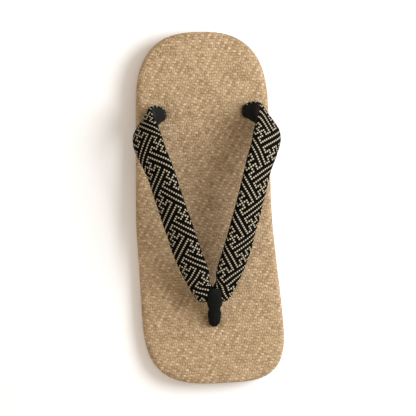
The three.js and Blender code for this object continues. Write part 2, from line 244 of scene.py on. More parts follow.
def smooth_row(keys, rows, at):
    """The row at a place between the keys, with every column blended by a smooth curve."""
    last = len(rows) - 1
    i = min(max(bisect.bisect_right(keys, at) - 1, 0), last - 1)
    span = keys[i + 1] - keys[i]
    s = min(max((at - keys[i]) / span, 0.0), 1.0)
    rise, fall = 3 * s * s - 2 * s**3, 1 - 3 * s * s + 2 * s**3
    lift_a, lift_b = s**3 - 2 * s * s + s, s**3 - s * s

    def slope(j, column):
        a, b = max(j - 1, 0), min(j + 1, last)
        return (rows[b][column] - rows[a][column]) / (keys[b] - keys[a]) * span

    blended = (
        fall * rows[i][c] + lift_a * slope(i, c) + rise * rows[i + 1][c] + lift_b * slope(i + 1, c)
        for c in range(len(rows[0]))
    )
    return type(rows[0])(*blended)


def ease(value, start, end):
    """Rises from 0 to 1 with level ends."""
    s = min(max((value - start) / (end - start), 0.0), 1.0)
    return s * s * (3 - 2 * s)


def signed_power(value, power):
    return math.copysign(abs(value) ** power, value)


def round_end(distance, depth, power):
    """How full the sole is at a distance from its end: 0 at the tip and 1 past the rounding."""
    if distance >= depth:
        return 1.0
    return (1 - (1 - max(distance, 0.0) / depth) ** power) ** (1 / power)


# ---- Form of the sole --------------------------------------------------------------------------------------

OUTLINE_KEYS = [row.from_toe for row in OUTLINE]


def spine(y):
    return smooth_row(OUTLINE_KEYS, OUTLINE, y + LENGTH / 2).spine


def reach(y, side):
    """How far the big_toe or little_toe edge of the sole lies to its own side of the spine."""
    from_toe = y + LENGTH / 2
    row = smooth_row(OUTLINE_KEYS, OUTLINE, from_toe)
    full = row.big_toe - row.spine if side == "big_toe" else row.little_toe + row.spine
    toe = round_end(from_toe, *TOE_ROUND[side])
    heel = round_end(LENGTH - from_toe, *HEEL_ROUND[side])
    return full * toe * heel


def clearance(y):
    """Height of the leather's underside over the floor: toe spring, flat ball, arch and heel seat."""
    from_toe = y + LENGTH / 2
    spring = max(0.0, BALL_FRONT - from_toe) / BALL_FRONT
    climb = ease(from_toe, BALL_BACK, LENGTH - HEEL_SEAT_LENGTH) * (LIFT_THICK + PIECE_GAP)
    return TOE_SPRING * spring**2 + climb


def board_bottom(y):
    return clearance(y) + LEATHER_THICK + PIECE_GAP


def board_thickness(y):
    share = (y + LENGTH / 2) / LENGTH
    return BOARD_THICK_AT_TOE + (BOARD_THICK_AT_HEEL - BOARD_THICK_AT_TOE) * share


def footbed_top(y):
    return board_bottom(y) + board_thickness(y)


def sole_outline():
    """Evenly spaced points round the sole, from the toe by the big toe side, with outward directions."""
    dense = 2400
    raw = []
    for i in range(dense):
        turn = 2 * math.pi * i / dense
        y = -LENGTH / 2 * math.cos(turn)
        out = reach(y, "big_toe") if i < dense / 2 else -reach(y, "little_toe")
        raw.append(Vector((spine(y) + out, y, 0.0)))
    walked = [0.0]
    for i in range(dense):
        walked.append(walked[-1] + (raw[(i + 1) % dense] - raw[i]).length)
    points = []
    for k in range(OUTLINE_POINTS):
        at = walked[-1] * k / OUTLINE_POINTS
        i = bisect.bisect_right(walked, at) - 1
        share = (at - walked[i]) / (walked[i + 1] - walked[i])
        points.append(raw[i].lerp(raw[(i + 1) % dense], share))
    outward = []
    for k in range(OUTLINE_POINTS):
        run = points[(k + 1) % OUTLINE_POINTS] - points[k - 1]
        outward.append(Vector((run.y, -run.x, 0.0)).normalized())
    return list(zip(points, outward))


# ---- Mesh helpers ------------------------------------------------------------------------------------------


def add_loop(bm, points):
    """A closed loop of edges through the points."""
    verts = [bm.verts.new(p) for p in points]
    return [bm.edges.new(pair) for pair in zip(verts, verts[1:] + verts[:1])]


def join_loops(bm, loops):
    """Skins a stack of edge loops and closes both ends."""
    for lower, upper in zip(loops, loops[1:]):
        bmesh.ops.bridge_loops(bm, edges=lower + upper)
    for end in (loops[0], loops[-1]):
        bmesh.ops.contextual_create(bm, geom=end)


def slice_across(bm, geometry, axis, low, high, step):
    """Cuts the geometry by evenly spaced planes square to an axis, and returns what it became."""
    normal = Vector((0.0, 0.0, 0.0))
    normal[axis] = 1.0
    count = int((high - low) / step)
    for i in range(1, count):
        place = normal * (low + i * step)
        cut = bmesh.ops.bisect_plane(bm, geom=geometry, plane_co=place, plane_no=normal, dist=0.02)
        geometry = cut["geom"]
    return geometry


def finished(bm, name, materials, replaced, sharp=50.0):
    """Turns a millimetre bmesh into a smooth piece that rides on the sandal's one body."""
    bmesh.ops.remove_doubles(bm, verts=bm.verts, dist=0.002)
    bmesh.ops.recalc_face_normals(bm, faces=bm.faces)
    bmesh.ops.scale(bm, vec=(MM, MM, MM), verts=bm.verts)
    for face in bm.faces:
        face.smooth = True
    mesh = bpy.data.meshes.new(name)
    bm.to_mesh(mesh)
    bm.free()
    mesh.set_sharp_from_angle(angle=math.radians(sharp))
    for material in materials:
        mesh.materials.append(material)
    piece = bpy.data.objects.new(name, mesh)
    bpy.context.scene.collection.objects.link(piece)
    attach(piece, "root")
    if replaced:
        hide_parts(*replaced)
    return piece


# ---- Materials ---------------------------------------------------------------------------------------------


class Finish:
    """One material, wired a node at a time."""

    def __init__(self, name):
        self.material = bpy.data.materials.new(name)
        self.material.use_nodes = True
        self.tree = self.material.node_tree
        self.shader = self.tree.nodes["Principled BSDF"]

    def node(self, kind, inputs=(), **settings):
        made = self.tree.nodes.new(kind)
        for name, value in settings.items():
            setattr(made, name, value)
        for name, value in dict(inputs).items():
            self.feed(made.inputs[name], value)
        return made

    def feed(self, socket, value):
        if isinstance(value, bpy.types.NodeSocket):
            self.tree.links.new(value, socket)
        else:
            socket.default_value = value

    def math(self, operation, *values, clamp=False):
        made = self.node("ShaderNodeMath", operation=operation, use_clamp=clamp)
        for socket, value in zip(made.inputs, values):
            self.feed(socket, value)
        return made.outputs[0]

    def split(self, vector):
        made = self.node("ShaderNodeSeparateXYZ", {"Vector": vector})
        return made.outputs["X"], made.outputs["Y"], made.outputs["Z"]

    def joined(self, x, y, z=0.0):
        return self.node("ShaderNodeCombineXYZ", {"X": x, "Y": y, "Z": z}).outputs[0]

    def place(self, scale):
        """Object coordinates stretched by a scale for each axis."""
        where = self.node("ShaderNodeTexCoord").outputs["Object"]
        return self.node("ShaderNodeMapping", {"Vector": where, "Scale": scale}).outputs[0]

    def cloth(self, layer):
        """The piece's own cloth coordinates, in metres across and along the cloth."""
        return self.split(self.node("ShaderNodeUVMap", uv_map=layer).outputs[0])[:2]

    def noise(self, vector, scale, detail=3.0, roughness=0.55):
        made = self.node(
            "ShaderNodeTexNoise",
            {"Vector": vector, "Scale": scale, "Detail": detail, "Roughness": roughness},
        )
        return made.outputs["Fac"]

    def ramp(self, value, stops):
        """A value mapped through (place, value) stops, as straight lines."""
        made = self.node("ShaderNodeValToRGB", {"Fac": value})
        elements = made.color_ramp.elements
        while len(elements) < len(stops):
            elements.new(0.5)
        for element, (at, shade) in zip(elements, stops):
            element.position = at
            element.color = (shade, shade, shade, 1.0)
        return made.outputs["Color"]

    def range(self, value, low, high, new_low, new_high):
        made = self.node("ShaderNodeMapRange")
        for name, number in zip(("Value", "From Min", "From Max", "To Min", "To Max"),
                                (value, low, high, new_low, new_high)):
            self.feed(made.inputs[name], number)
        return made.outputs["Result"]

    def mix(self, share, first, second, blend="MIX"):
        made = self.node("ShaderNodeMix", data_type="RGBA", blend_type=blend)
        for socket, value in zip((made.inputs[0], made.inputs[6], made.inputs[7]), (share, first, second)):
            if isinstance(value, bpy.types.NodeSocket) or isinstance(value, float):
                self.feed(socket, value)
            else:
                socket.default_value = (*value[:3], 1.0)
        return made.outputs[2]

    def surface(self, colour, roughness, height, bump, fixed=()):
        """Colour, roughness and bump from nodes, and the shader's other sockets as plain numbers."""
        self.feed(self.shader.inputs["Base Color"], colour)
        self.feed(self.shader.inputs["Roughness"], roughness)
        relief = self.node(
            "ShaderNodeBump", {"Height": height, "Distance": bump * MM, "Strength": 1.0}
        )
        self.feed(self.shader.inputs["Normal"], relief.outputs[0])
        for name, value in dict(fixed).items():
            self.shader.inputs[name].default_value = value
        return self.material


def yarn_profile(finish, across):
    """Height over a round yarn, from 0 at its sides to 1 on top, for a coordinate counted in yarns."""
    centred = finish.math("SUBTRACT", finish.math("FRACT", across), 0.5)
    squared = finish.math("MULTIPLY", finish.math("MULTIPLY", centred, centred), -4.0)
    return finish.math("SQRT", finish.math("ADD", squared, 1.0, clamp=True))


def coarse_cloth(settings):
    """Natural slubby cloth in a two-and-two twill, whose ribs climb to the big toe side."""
    finish = Finish("natural slub cloth")
    u, v = finish.cloth("cloth")
    where = finish.joined(u, v)
    sway_u = finish.math("MULTIPLY", finish.math("SUBTRACT", finish.noise(where, 70.0), 0.5), 2.0 * MM)
    sway_v = finish.math("MULTIPLY", finish.math("SUBTRACT", finish.noise(where, 85.0), 0.5), 2.1 * MM)
    warp = finish.math("DIVIDE", finish.math("ADD", u, sway_u), settings.warp_pitch)
    weft = finish.math("DIVIDE", finish.math("ADD", v, sway_v), settings.weft_pitch)
    column = finish.math("FLOOR", warp)
    row = finish.math("FLOOR", weft)
    step = finish.math("FLOORED_MODULO", finish.math("SUBTRACT", column, row), 4.0)
    crosswise = finish.math("LESS_THAN", step, 1.5)
    lengthwise = finish.math("SUBTRACT", 1.0, crosswise)

    def arch(place):
        share = finish.math("MULTIPLY", place, math.pi / 2)
        return finish.math("MULTIPLY_ADD", finish.math("SINE", share), 0.55, 0.45)

    across_float = arch(finish.math("ADD", step, finish.math("FRACT", warp)))
    along_float = arch(finish.math("ADD", finish.math("SUBTRACT", 3.0, step), finish.math("FRACT", weft)))
    over = finish.math("MULTIPLY", yarn_profile(finish, weft), across_float)
    over = finish.math("MULTIPLY", over, crosswise)
    under = finish.math("MULTIPLY", yarn_profile(finish, warp), along_float)
    under = finish.math("MULTIPLY", under, lengthwise)
    height = finish.math("MULTIPLY_ADD", under, 0.7, over)

    slub = finish.noise(finish.joined(finish.math("MULTIPLY", u, 0.45), v), 900.0, 2.0)
    fibre = finish.noise(finish.joined(finish.math("MULTIPLY", u, 0.22), v), 4200.0, 2.0)
    float_column = finish.math("SUBTRACT", column, step)
    float_row = finish.math("MULTIPLY_ADD", crosswise, 0.5, row)
    float_id = finish.joined(float_column, float_row)
    own_shade = finish.node("ShaderNodeTexWhiteNoise", {"Vector": float_id}, noise_dimensions="3D")
    yarn = own_shade.outputs["Value"]
    patch = finish.noise(where, 60.0, 4.0)
    # Painted highlight and shade: the tone peaks on the top of each raised crosswise yarn and drops in the
    # hollows between the yarns. This lies over the yarns' own random tone.
    yarn_top_highlight = finish.math("POWER", finish.math("MAXIMUM", over, 0.0), 1.8)
    tone = finish.math("MULTIPLY_ADD", under, 0.22, finish.math("MULTIPLY_ADD", yarn_top_highlight, 0.5, 0.24))
    for grain, weight in ((slub, 1.1), (yarn, 0.42), (patch, 0.35)):
        tone = finish.math("MULTIPLY_ADD", finish.math("SUBTRACT", grain, 0.5), weight, tone)
    tone = finish.math("MAXIMUM", finish.math("MINIMUM", tone, 1.0), 0.0)
    colour = finish.mix(tone, settings.cloth_dark_and_shade, settings.cloth_pale_and_highlight)
    # Pale slubs shown only on the tops of the raised yarns: partly the yarn's own slubs, partly a painted
    # highlight.
    bright = finish.range(finish.math("MULTIPLY", yarn, slub), 0.42, 0.6, 0.0, 0.42)
    fleck_highlight = finish.math("MULTIPLY", bright, finish.math("POWER", over, 2.0), clamp=True)
    colour = finish.mix(fleck_highlight, colour, settings.cloth_fleck_highlight)
    height = finish.math("MULTIPLY_ADD", fibre, 0.16, height)
    height = finish.math("MULTIPLY_ADD", slub, 0.5, height)
    rough = finish.range(height, 0.0, 1.2, 0.95, 0.75)
    return finish.surface(colour, rough, height, 0.42, {"Specular IOR Level": 0.2, "Sheen Weight": 0.05})


def chestnut_leather(settings):
    """Smooth vegetable-tanned grain with mottling, fine creases and dull scuffs."""
    finish = Finish("chestnut leather")
    where = finish.place((1.0, 1.0, 1.0))
    cloud = finish.noise(where, 26.0, 4.0)
    cells = finish.node("ShaderNodeTexVoronoi", {"Vector": where, "Scale": 1300.0}, feature="F1")
    grain = cells.outputs["Distance"]
    scratch = finish.noise(finish.place((9.0, 1.2, 1.0)), 60.0, 5.0, 0.7)
    scuff = finish.ramp(scratch, [(0.56, 0.0), (0.74, 1.0)])
    dark = tuple(c * 0.86 for c in settings.leather)
    pale = tuple(min(1.0, c * 1.2 + 0.005) for c in settings.leather)
    colour = finish.mix(finish.range(cloud, 0.3, 0.7, 0.0, 1.0), dark, pale)
    colour = finish.mix(finish.math("MULTIPLY", scuff, 0.22), colour, (0.45, 0.22, 0.09))
    rough = finish.math("ADD", finish.range(cloud, 0.3, 0.7, 0.38, 0.52), finish.math("MULTIPLY", scuff, 0.2))
    height = finish.math("ADD", grain, finish.math("MULTIPLY", scratch, 0.8))
    return finish.surface(colour, rough, height, 0.07, {"Specular IOR Level": 0.5})


def cut_leather(settings):
    """The raw edge of the outsole: pale, burnished, with the fibres of its layers."""
    finish = Finish("burnished cut edge")
    layer = finish.noise(finish.place((0.35, 0.35, 9.0)), 260.0, 4.0, 0.65)
    patch = finish.noise(finish.place((1.0, 1.0, 1.0)), 70.0, 3.0)
    dark = tuple(c * 0.6 for c in settings.cut_edge)
    colour = finish.mix(finish.range(layer, 0.3, 0.7, 0.0, 1.0), dark, settings.cut_edge)
    colour = finish.mix(finish.range(patch, 0.5, 0.8, 0.0, 0.35), colour, settings.leather)
    rough = finish.range(layer, 0.3, 0.7, 0.48, 0.66)
    return finish.surface(colour, rough, layer, 0.12)


def moulded_rubber(settings):
    """Matt tan rubber with a fine stipple and rubbed patches."""
    finish = Finish("tan heel rubber")
    where = finish.place((1.0, 1.0, 1.0))
    stipple = finish.noise(where, 2600.0, 2.0)
    cloud = finish.noise(where, 55.0, 4.0)
    dark = tuple(c * 0.8 for c in settings.rubber)
    pale = tuple(min(1.0, c * 1.2) for c in settings.rubber)
    colour = finish.mix(finish.range(cloud, 0.3, 0.7, 0.0, 1.0), dark, pale)
    rough = finish.range(cloud, 0.3, 0.7, 0.5, 0.66)
    return finish.surface(colour, rough, stipple, 0.05, {"Specular IOR Level": 0.4})


def dull_brass(settings):
    """Brass nail heads, dulled and rubbed bright in places."""
    finish = Finish("dull brass")
    where = finish.place((1.0, 1.0, 1.0))
    tarnish = finish.noise(where, 700.0, 4.0)
    colour = finish.mix(finish.range(tarnish, 0.35, 0.65, 0.0, 1.0), (0.3, 0.22, 0.1), settings.brass)
    rough = finish.range(tarnish, 0.35, 0.65, 0.55, 0.3)
    return finish.surface(colour, rough, tarnish, 0.04, {"Metallic": 1.0})


def fret_lines(finish, across, along):
    """1 on the yarn floats of the fret's crosswise lines. Coordinates count floats from a right-handed key.

    The fret is a chequer of right- and left-handed keys, ten floats apart, joined by long bars. Its
    crosswise lines lie on every second row and repeat ten rows on, ten floats aside. In a row they are
    told by their distance, aside, from the middle of a bar.
    """
    band = finish.math("FLOOR", finish.math("DIVIDE", along, 10.0))
    row = finish.math("MULTIPLY_ADD", band, -10.0, along)
    column = finish.math("MULTIPLY_ADD", band, -10.0, across)
    turned = finish.math("FLOORED_MODULO", finish.math("ADD", column, 5.0), 20.0)
    aside = finish.math("ABSOLUTE", finish.math("SUBTRACT", turned, 10.0))
    kind = finish.math("ABSOLUTE", finish.math("SUBTRACT", row, 5.0))

    def is_row(number):
        return finish.math("COMPARE", kind, number, 0.25)

    bar = finish.math("LESS_THAN", aside, 7.5)
    near_step = finish.math("ABSOLUTE", finish.math("SUBTRACT", aside, 4.0))
    hooks = finish.math("COMPARE", near_step, 2.0, 1.25)
    arms = finish.math("COMPARE", aside, 5.0, 2.25)
    lit = finish.math("MULTIPLY", is_row(1.0), bar)
    lit = finish.math("MULTIPLY_ADD", is_row(3.0), hooks, lit)
    return finish.math("MULTIPLY_ADD", is_row(5.0), arms, lit)


def fret_cloth(settings, hand):
    """Black cloth with a key fret of cream floats, cut on the bias. hand is 1 for the big toe side's arm."""
    finish = Finish("key fret cloth, " + ("big toe side" if hand > 0 else "little toe side"))
    u, v = finish.cloth("cloth")
    v = finish.math("SUBTRACT", v, settings.fret_start_big if hand > 0 else settings.fret_start_little)
    diagonal = math.sqrt(2) * settings.stitch_pitch
    inward = finish.math("SUBTRACT", u, settings.fret_inset)
    across = finish.math("DIVIDE", finish.math("SUBTRACT", v, inward), -hand * diagonal)
    along = finish.math("DIVIDE", finish.math("ADD", v, inward), diagonal)
    column = finish.math("ROUND", across)
    row = finish.math("ROUND", along)
    off_column = finish.math("SUBTRACT", across, column)
    off_row = finish.math("SUBTRACT", along, row)
    crosswise = fret_lines(finish, column, row)
    lengthwise = fret_lines(finish, row, finish.math("MULTIPLY", column, -1.0))
    lit = finish.math("MAXIMUM", crosswise, lengthwise)
    power = 2.4
    distance = finish.math(
        "ADD",
        finish.math("POWER", finish.math("ABSOLUTE", off_column), power),
        finish.math("POWER", finish.math("ABSOLUTE", off_row), power),
    )
    distance = finish.math("POWER", distance, 1 / power)
    dot = finish.range(distance, 0.37, 0.29, 0.0, 1.0)
    dot = finish.math("MULTIPLY", dot, lit)
    dome = finish.math("MULTIPLY", finish.range(distance, 0.5, 0.0, 0.0, 1.0), lit)

    where = finish.joined(across, along)
    fibre = finish.noise(finish.joined(finish.math("MULTIPLY", across, 0.6), along), 9.0, 2.0)
    ground_weave = finish.math(
        "MULTIPLY",
        finish.math("SINE", finish.math("MULTIPLY", across, 4 * math.pi)),
        finish.math("SINE", finish.math("MULTIPLY", along, 4 * math.pi)),
    )
    wear = finish.noise(where, 0.35, 3.0)
    cream = finish.mix(finish.range(fibre, 0.3, 0.7, 0.0, 1.0),
                       tuple(c * 0.62 for c in settings.figure), settings.figure)
    cream = finish.mix(finish.range(wear, 0.35, 0.75, 0.0, 0.3), cream, (0.4, 0.33, 0.22))
    black = finish.mix(finish.range(ground_weave, -1.0, 1.0, 0.0, 1.0), settings.ground,
                       tuple(c * 2.2 for c in settings.ground))
    colour = finish.mix(dot, black, cream)
    height = finish.math("MULTIPLY_ADD", dome, 1.0, finish.math("MULTIPLY", ground_weave, 0.12))
    height = finish.math("ADD", height, finish.math("MULTIPLY", fibre, 0.15))
    rough = finish.range(dot, 0.0, 1.0, 0.9, 0.7)
    return finish.surface(colour, rough, height, 0.22, {"Specular IOR Level": 0.03})


def black_velvet(settings, name, scale, sheen):
    """Short-pile black cloth, with a painted grey sheen in patches where the pile would turn to the light."""
    finish = Finish(name)
    where = finish.place((1.0, 1.0, 1.0))
    pile = finish.noise(where, 2400.0 * scale, 3.0, 0.7)
    # Painted sheen: noise patches lighten the black towards grey, standing in for light catching the pile.
    brushed_sheen = finish.noise(finish.place((1.0, 0.5, 1.0)), 140.0, 4.0)
    grey = tuple(c * 1.8 + 0.002 for c in settings.velvet)
    colour = finish.mix(finish.range(brushed_sheen, 0.35, 0.7, 0.0, 1.0), settings.velvet, grey)
    colour = finish.mix(finish.range(pile, 0.55, 0.8, 0.0, 0.3), colour, (0.03, 0.03, 0.028))
    rough = finish.range(pile, 0.3, 0.7, 0.98, 0.86)
    return finish.surface(colour, rough, pile, 0.14, {"Specular IOR Level": 0.05, "Sheen Weight": sheen})


# ---- Sole pieces -------------------------------------------------------------------------------------------


def board_profile(thickness, edge_round):
    """Steps of the wrapped board's edge, from its underside up to the start of its flat top."""
    tuck = 1.4
    bulge = 0.1
    steps = []
    for i in range(4):
        turn = math.pi / 2 * i / 3
        steps.append(EdgeStep(tuck * (1 - math.sin(turn)), tuck * (1 - math.cos(turn))))
    steps.append(EdgeStep(-bulge, (tuck + thickness - edge_round) / 2))
    for i in range(9):
        turn = math.pi / 2 * i / 8
        below_top = edge_round * (1 - math.sin(turn))
        steps.append(EdgeStep(edge_round * (1 - math.cos(turn)), thickness - below_top))
    return steps


def sole_stack(bm, profile):
    """Skins the sole's outline over a profile, and closes it with flat faces."""
    outline = sole_outline()
    loops = []
    for step in profile:
        up = Vector((0.0, 0.0, step.height))
        loops.append(add_loop(bm, [p - out * step.inset + up for p, out in outline]))
    join_loops(bm, loops)


def lay_cloth(bm, profile):
    """Cloth coordinates in metres: flat over the top, and carried on down over the edge."""
    outline = sole_outline()
    layer = bm.loops.layers.uv.new("cloth")
    run = [0.0]
    for a, b in zip(profile[::-1], profile[-2::-1]):
        run.append(run[-1] + math.hypot(a.inset - b.inset, a.height - b.height))
    run.reverse()
    top_inset = profile[-1].inset
    laid = {}
    for step, walked in zip(profile, run):
        for p, out in outline:
            place = p - out * step.inset
            key = (round(place.x, 3), round(place.y, 3), round(step.height, 3))
            laid[key] = p - out * (top_inset - walked)
    for face in bm.faces:
        for corner in face.loops:
            co = corner.vert.co
            cloth = laid.get((round(co.x, 3), round(co.y, 3), round(co.z, 3)), co)
            corner[layer].uv = (cloth.x * MM, cloth.y * MM)


def hole_dip(x, y, depth):
    """How far the cloth is drawn down near the strap holes, with small puckers round each."""
    drop = 0.0
    for hole in (*REAR_HOLES, FRONT_HOLE):
        away = math.hypot(x - hole.x, y - hole.y)
        if away > 20.0:
            continue
        drop += depth * math.exp(-((away / 5.2) ** 2))
        turn = math.atan2(y - hole.y, x - hole.x)
        drop += 0.16 * math.cos(9 * turn) * math.exp(-(((away - 7.5) / 2.6) ** 2))
    return drop


def build_footbed(settings):
    crown = settings.crown / MM
    nominal = BOARD_THICK_AT_HEEL
    profile = board_profile(nominal, settings.edge_round / MM)
    bm = bmesh.new()
    sole_stack(bm, profile)
    lay_cloth(bm, profile)
    bmesh.ops.recalc_face_normals(bm, faces=bm.faces)
    half, wide = LENGTH / 2, 60.0
    slice_across(bm, bm.verts[:] + bm.edges[:] + bm.faces[:], 1, -half, half, 3.0)
    top = [f for f in bm.faces if f.calc_center_median().z > nominal - 0.001]
    top += list({e for f in top for e in f.edges}) + list({v for f in top for v in f.verts})
    top = slice_across(bm, top, 0, -wide, wide, 1.6)
    slice_across(bm, top, 1, -half, half, 1.6)
    for vert in bm.verts:
        x, y, z = vert.co
        share = z / nominal
        rise = board_bottom(y) + board_thickness(y) * share
        if share > 0.99:
            rim = reach(y, "big_toe" if x > spine(y) else "little_toe") or 1.0
            out = min(1.0, abs(x - spine(y)) / rim)
            edge = min(1.0, (half - abs(y)) / 12.0)
            rise += crown * (1 - out**4) * ease(edge, 0.0, 1.0)
            rise -= hole_dip(x, y, settings.hole_dip / MM)
            rise += 0.12 * noise.noise(Vector((x, y, 0.0)) * 0.06)
        vert.co.z = rise
    materials = [coarse_cloth(settings)]
    return finished(bm, "footbed_cloth_wrap", materials, ["footbed"], sharp=80.0)


def build_outsole(settings):
    broken = 0.6
    cut_face = 1
    profile = [
        EdgeStep(LEATHER_INSET + broken, 0.0),
        EdgeStep(LEATHER_INSET + broken * 0.3, broken * 0.3),
        EdgeStep(LEATHER_INSET, broken),
        EdgeStep(LEATHER_INSET - 0.08, LEATHER_THICK * 0.5),
        EdgeStep(LEATHER_INSET, LEATHER_THICK - broken * 0.5),
        EdgeStep(LEATHER_INSET + broken * 0.5, LEATHER_THICK),
    ]
    bm = bmesh.new()
    sole_stack(bm, profile)
    bmesh.ops.recalc_face_normals(bm, faces=bm.faces)
    bm.normal_update()
    for face in bm.faces:
        if abs(face.normal.z) < 0.6:
            face.material_index = cut_face
    half = LENGTH / 2
    slice_across(bm, bm.verts[:] + bm.edges[:] + bm.faces[:], 1, -half, half, 3.0)
    for vert in bm.verts:
        vert.co.z += clearance(vert.co.y)
    materials = [chestnut_leather(settings), cut_leather(settings)]
    return finished(bm, "leather_outsole", materials, ["outsole"], sharp=60.0)


def build_lift(settings):
    """A welded copy of the heel lift's solid, shaded smooth between its real corners."""
    bm = bmesh.new()
    bm.from_mesh(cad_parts["heel_lift"].data)
    bmesh.ops.scale(bm, vec=(1 / MM,) * 3, verts=bm.verts)
    materials = [moulded_rubber(settings)]
    return finished(bm, "moulded_heel_lift", materials, ["heel_lift"], sharp=32.0)


def build_nails(settings):
    """Domed nail heads, looking down out of their recesses in the heel lift."""
    brass = dull_brass(settings)
    dome = [(0.0, 0.0), (0.7, 0.05), (1.15, 0.19), (1.4, 0.38), (NAIL_RADIUS, 0.6)]
    head = dome + [(NAIL_RADIUS, 0.9), (0.0, 0.9)]
    for number, (across, from_heel) in enumerate(NAIL_PLACES, start=1):
        bm = bmesh.new()
        verts = [bm.verts.new((radius, 0.0, rise + NAIL_SUNK)) for radius, rise in head]
        edges = [bm.edges.new(pair) for pair in zip(verts, verts[1:])]
        bmesh.ops.spin(bm, geom=verts + edges, cent=(0, 0, 0), axis=(0, 0, 1), angle=2 * math.pi, steps=28,
                       use_merge=True)
        bmesh.ops.translate(bm, vec=(across, LENGTH / 2 - from_heel, 0.0), verts=bm.verts)
        finished(bm, f"heel_nail_head_{number}", [brass], [f"heel_nail_{number}"], sharp=40.0)


# ---- Straps ------------------------------------------------------------------------------------------------

Station = namedtuple("Station", "walked place across face width thick")


def path_keys(points):
    keys = [0.0]
    for a, b in zip(points, points[1:]):
        keys.append(keys[-1] + (b - a).length)
    return keys


def arm_stations():
    """Places along the big toe side's arm, with the directions across and out of its face."""
    points = [Vector((row.out, row.y, footbed_top(row.y) + row.up)) for row in ARM]
    keys = path_keys(points)
    steps = int(keys[-1] / ARM_STEP)

    def place(at):
        row = smooth_row(keys, ARM, at)
        return Vector((row.out, row.y, footbed_top(row.y) + row.up))

    stations = []
    for i in range(steps + 1):
        at = keys[-1] * i / steps
        row = smooth_row(keys, ARM, at)
        tangent = (place(min(at + 0.3, keys[-1])) - place(max(at - 0.3, 0.0))).normalized()
        lean, back = math.radians(row.lean), math.radians(row.back)
        face = Vector((math.sin(lean) * math.cos(back), math.sin(back), math.cos(lean) * math.cos(back)))
        face = (face - tangent * face.dot(tangent)).normalized()
        stations.append(Station(at, place(at), face.cross(tangent), face, row.width, row.thick))
    return stations


def arm_point(station, end, turn, proud, settings):
    """A point on an arm's skin. turn is 0 at the outer seam, 90 degrees on the face and 180 at the inner."""
    c, s = math.cos(turn), math.sin(turn)
    sideways = (station.width / 2 + proud) * signed_power(c, 2 / ARM_SECTION_POWER)
    share = FACE_SHARE if s > 0 else 1 - FACE_SHARE
    outward = (station.thick * share + proud) * signed_power(s, 2 / ARM_SECTION_POWER)
    spread = Vector((sideways, outward))
    gathered = math.exp(-max(station.walked - 6.0, 0.0) / 7.5)
    fold = abs(math.cos(settings.pleats * turn / 2 + 0.5 * math.sin(2 * turn + station.walked * 0.05)))
    swell = settings.pleat_depth / MM * gathered * (fold - 0.62)
    front = math.exp(-max(end - station.walked - 4.0, 0.0) / 6.0)
    swell += 0.35 * front * (abs(math.cos(4 * turn + 0.6)) - 0.6)
    puff = noise.noise(Vector((c * 1.4, s * 1.4, station.walked * 0.085)))
    swell += 0.3 * puff * (1 - gathered)
    if spread.length > 0:
        spread += spread.normalized() * swell
    return station.place + station.across * spread.x + station.face * spread.y


def mirrored(point, hand):
    return Vector((point.x * hand, point.y, point.z))


def build_arm(settings, hand):
    """One padded arm. Its cloth coordinates run from the inner seam over the face, and along the arm."""
    stations = arm_stations()
    end = stations[-1].walked
    bm = bmesh.new()
    around = bm.verts.layers.float.new("around")
    along = bm.verts.layers.float.new("along")
    lap = bm.verts.layers.float.new("lap")
    loops = []
    face_run = 0.0
    face_before = None
    for station in stations:
        turns = [math.radians(270 - 360 * k / ARM_SIDES) for k in range(ARM_SIDES)]
        points = [arm_point(station, end, turn, 0.0, settings) for turn in turns]
        edges = add_loop(bm, [mirrored(p, hand) for p in points])
        walked = [0.0]
        for a, b in zip(points, points[1:] + points[:1]):
            walked.append(walked[-1] + (b - a).length)
        inner_seam = walked[ARM_SIDES // 4]
        face_middle = points[ARM_SIDES // 2]
        face_run += (face_middle - (face_before or face_middle)).length
        face_before = face_middle
        bm.verts.ensure_lookup_table()
        for vert, run in zip(bm.verts[-ARM_SIDES:], walked):
            vert[around] = run - inner_seam
            vert[along] = face_run
            vert[lap] = walked[-1]
        loops.append(edges)
    join_loops(bm, loops)
    layer = bm.loops.layers.uv.new("cloth")
    for face in bm.faces:
        most = max(corner.vert[around] for corner in face.loops)
        for corner in face.loops:
            run = corner.vert[around]
            if run < most - 20.0 and len(face.loops) == 4:
                run += corner.vert[lap]
            corner[layer].uv = (run * MM, corner.vert[along] * MM)
    name = "hanao_arm_" + ("big_toe_side" if hand > 0 else "little_toe_side")
    replaced = ["hanao"] if hand > 0 else []
    piece = finished(bm, name, [fret_cloth(settings, hand)], replaced, sharp=80.0)
    return piece


def build_lining(settings, hand, velvet):
    """The velvet lining of an arm: a shallow shell over its underside, rolled in at both seams."""
    stations = arm_stations()
    end = stations[-1].walked
    proud = settings.lining_proud / MM
    last = math.radians(LINING_END)
    bm = bmesh.new()
    loops = []
    for station in stations[1:-3]:
        outer, inner = [], []
        turned_in = LINING_TURNED_IN * (1 - ease(station.walked, 8.0, 24.0))
        first = math.radians(LINING_START + turned_in)
        for k in range(LINING_STEPS + 1):
            turn = first + (last - first) * k / LINING_STEPS
            roll = abs(math.sin(math.pi * k / LINING_STEPS)) ** 0.35
            height = LINING_SUNK + (proud - LINING_SUNK) * roll
            outer.append(arm_point(station, end, turn, height, settings))
            inner.append(arm_point(station, end, turn, LINING_SUNK - LINING_THICK, settings))
        ring = outer + inner[::-1]
        loops.append(add_loop(bm, [mirrored(p, hand) for p in ring]))
    join_loops(bm, loops)
    name = "hanao_lining_" + ("big_toe_side" if hand > 0 else "little_toe_side")
    return finished(bm, name, [velvet], [], sharp=80.0)


